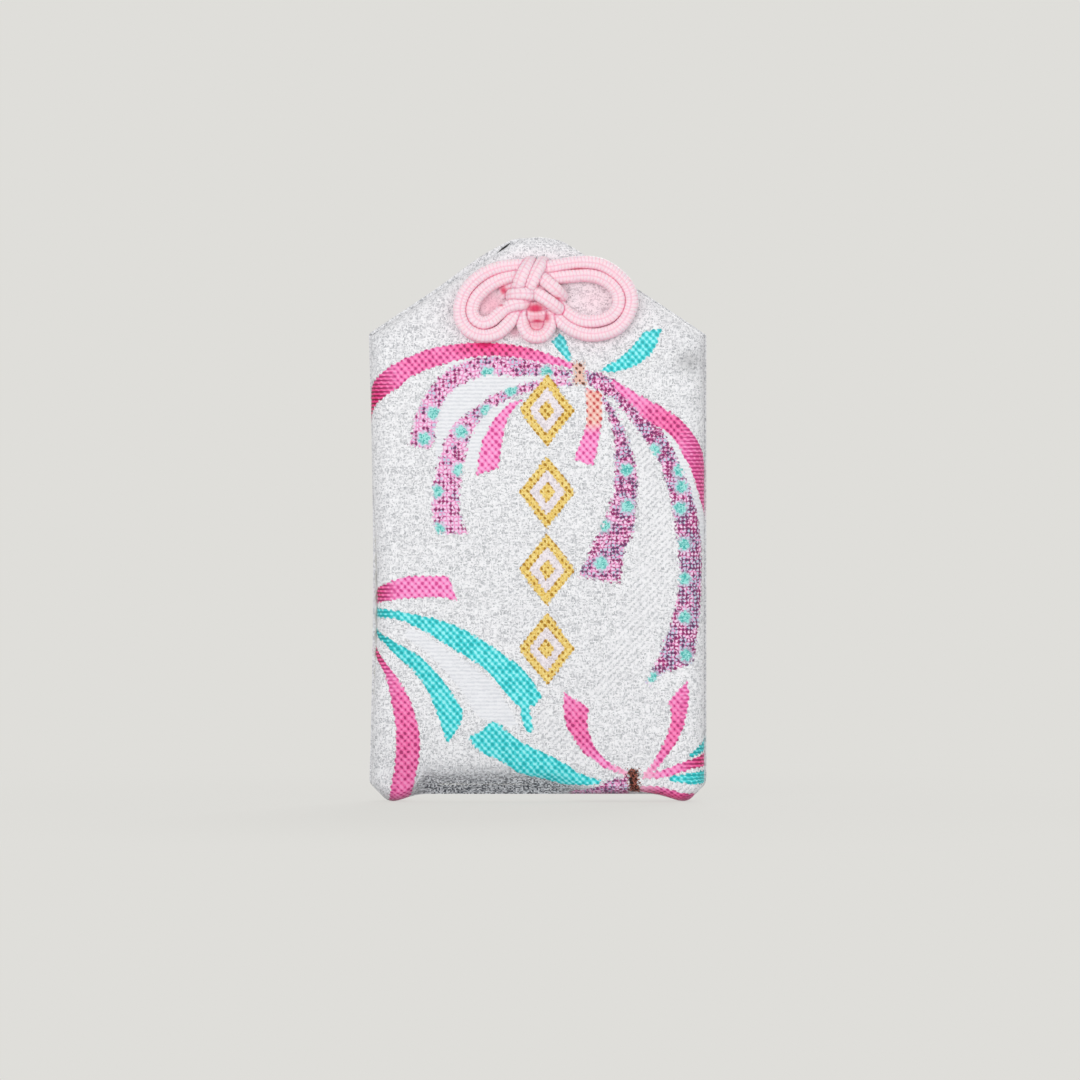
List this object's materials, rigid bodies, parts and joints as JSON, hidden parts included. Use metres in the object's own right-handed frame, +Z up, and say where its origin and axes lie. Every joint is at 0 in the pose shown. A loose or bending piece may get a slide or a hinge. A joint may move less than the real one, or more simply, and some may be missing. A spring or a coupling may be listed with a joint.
{
  "type": "omamori charm",
  "caption": "Flat peaked brocade pouch sewn round a paper-wrapped talisman slip and a stiffener card, with a braided cord tied in a bow knot on the front and a hanging loop behind.",
  "frame": {"origin": "under the middle of the bag's bottom edge, in the bag's middle plane", "axes": "+Z up along the bag's height, -Y out of the front with the bow knot, +X to the right seen from the front"},
  "size_m": [0.045, 0.0101, 0.076],
  "materials": {
    "brocade": "silver-white jacquard brocade with woven bands",
    "interlining": "non-woven backing",
    "sewing_thread": "twisted polyester thread",
    "card": "uncoated board",
    "paper": "folded white paper",
    "slip_wood": "planed, bare",
    "cord": "round braided silk-like cord"
  },
  "bodies": {
    "bag": {"front_panel": "brocade", "back_panel": "brocade", "front_interlining": "interlining", "back_interlining": "interlining", "left_seam_thread": "sewing_thread", "right_seam_thread": "sewing_thread", "bottom_seam_thread": "sewing_thread", "stiffener_card": "card", "left_cord_pass": "cord", "right_cord_pass": "cord"},
    "talisman": {"talisman_wrapper": "paper", "talisman_slip": "slip_wood"},
    "loop": {"hanging_loop": "cord"},
    "bow_knot": {"knot_centre": "cord", "left_ear_outer": "cord", "left_ear_inner": "cord", "right_ear_outer": "cord", "right_ear_inner": "cord", "lower_ear": "cord"}
  },
  "joints": [
    {"name": "loop_swing", "type": "hinge", "parent": "bag", "child": "loop", "pos_m": [0, 0.00417, 0.0718], "axis": [1, 0, 0], "range_deg": [0, 180]},
    {"name": "knot_lift", "type": "hinge", "parent": "bag", "child": "bow_knot", "pos_m": [0, -0.00356, 0.07269], "axis": [-1, 0, 0], "range_deg": [0, 75]},
    {"name": "talisman_slide", "type": "slide", "parent": "bag", "child": "talisman", "axis": [0, 0, 1], "range_m": [0, 0.002]}
  ]
}
